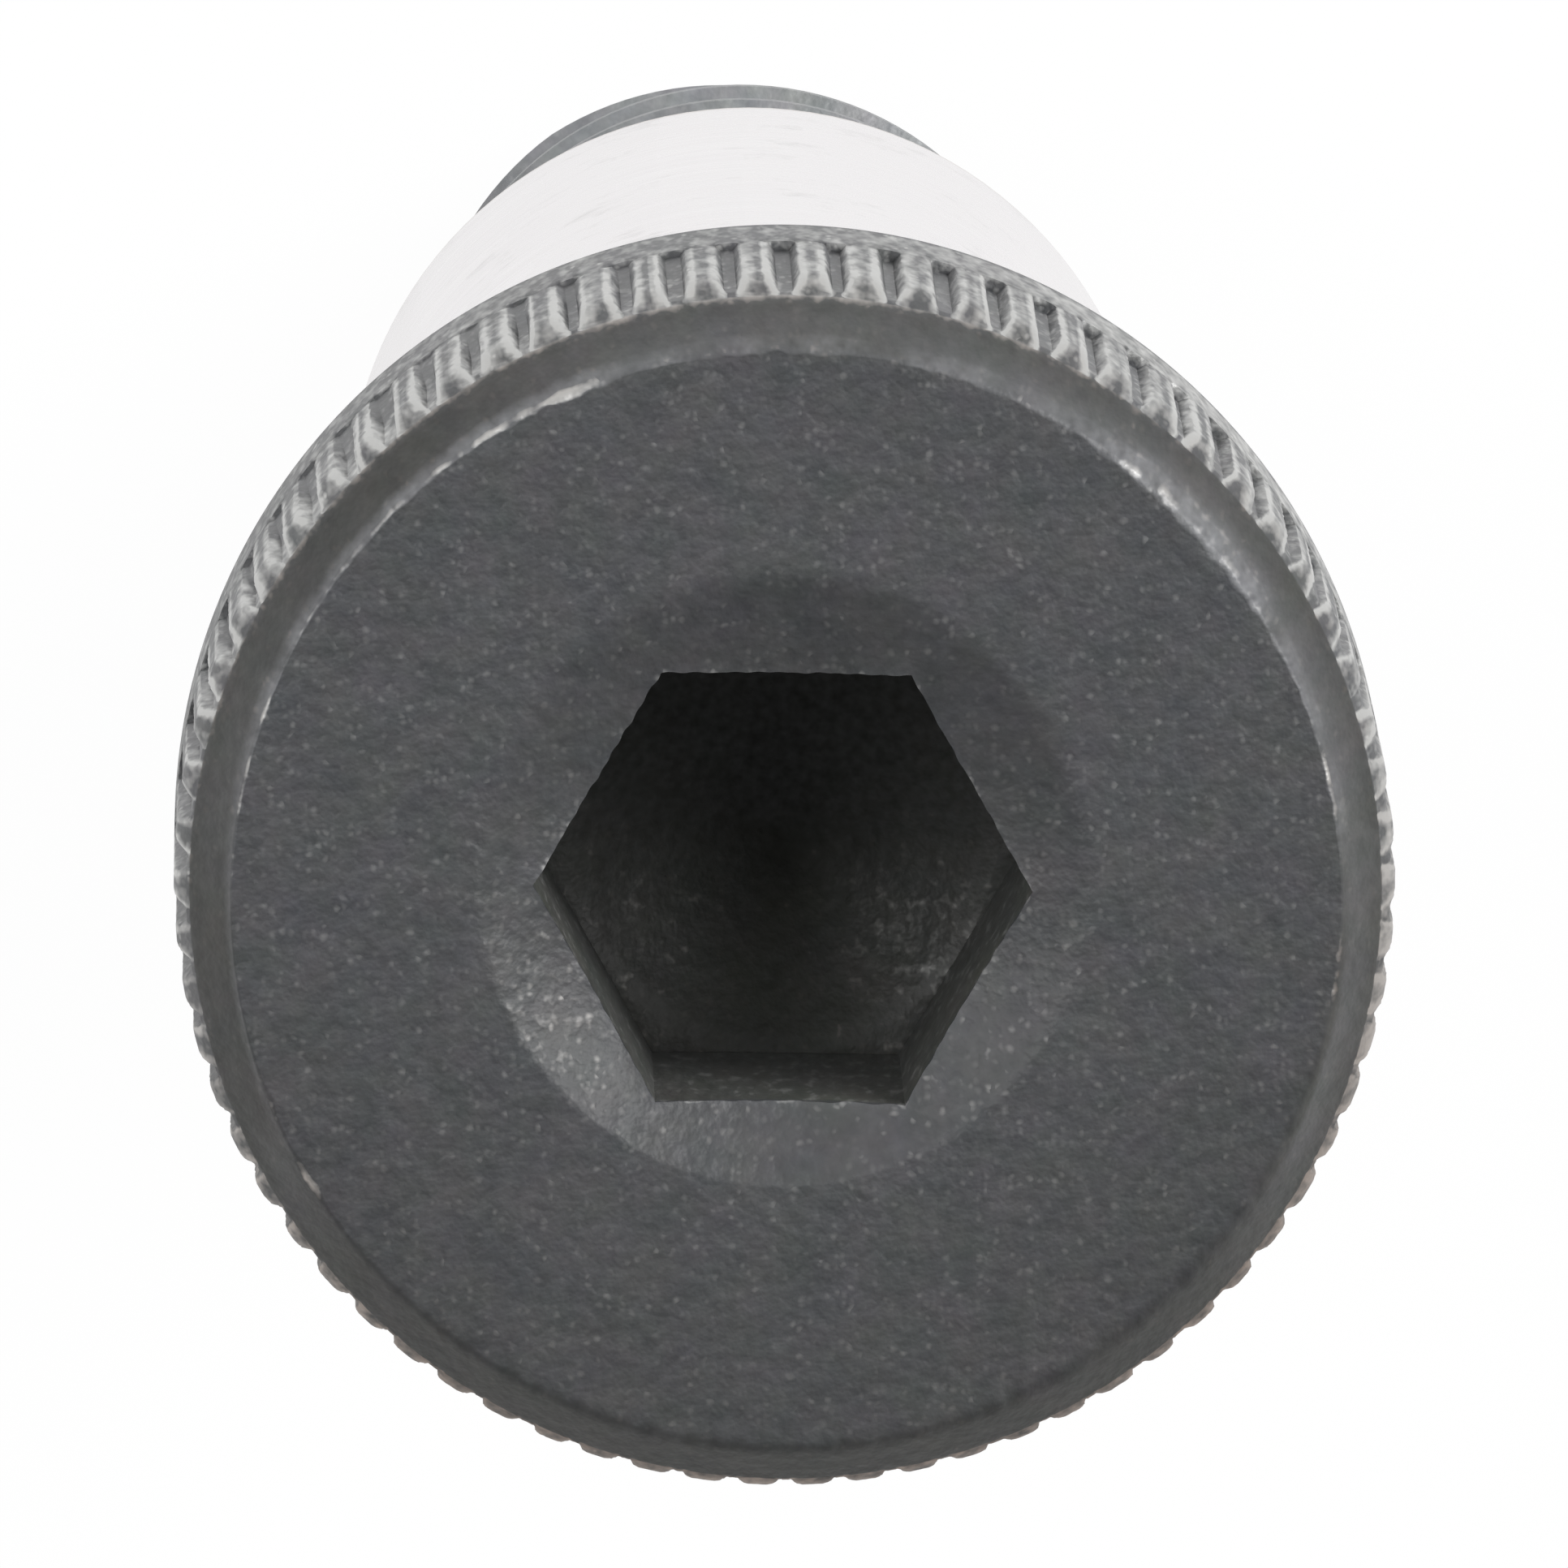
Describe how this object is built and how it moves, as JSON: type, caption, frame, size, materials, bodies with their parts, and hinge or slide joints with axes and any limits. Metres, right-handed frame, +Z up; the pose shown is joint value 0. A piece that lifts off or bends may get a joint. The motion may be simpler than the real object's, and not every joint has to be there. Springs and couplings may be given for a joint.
{
  "type": "socket head shoulder screw",
  "caption": "Shoulder screw with a knurled socket head, a long ground shoulder that a part turns on, and a shorter, thinner threaded end.",
  "frame": {"origin": "centre of the flat end of the thread, which the screw stands on", "axes": "+Z up along the screw from the end of its thread to the face of its head, +Y towards the side that the socket is off centre to, square to two of the hexagon's flats"},
  "size_m": [0.011, 0.011, 0.0421],
  "materials": {
    "black_oxide_steel": "alloy steel with a black oxide finish, the shoulder ground bright"
  },
  "bodies": {
    "root": {"shoulder_screw": "black_oxide_steel"}
  },
  "joints": []
}
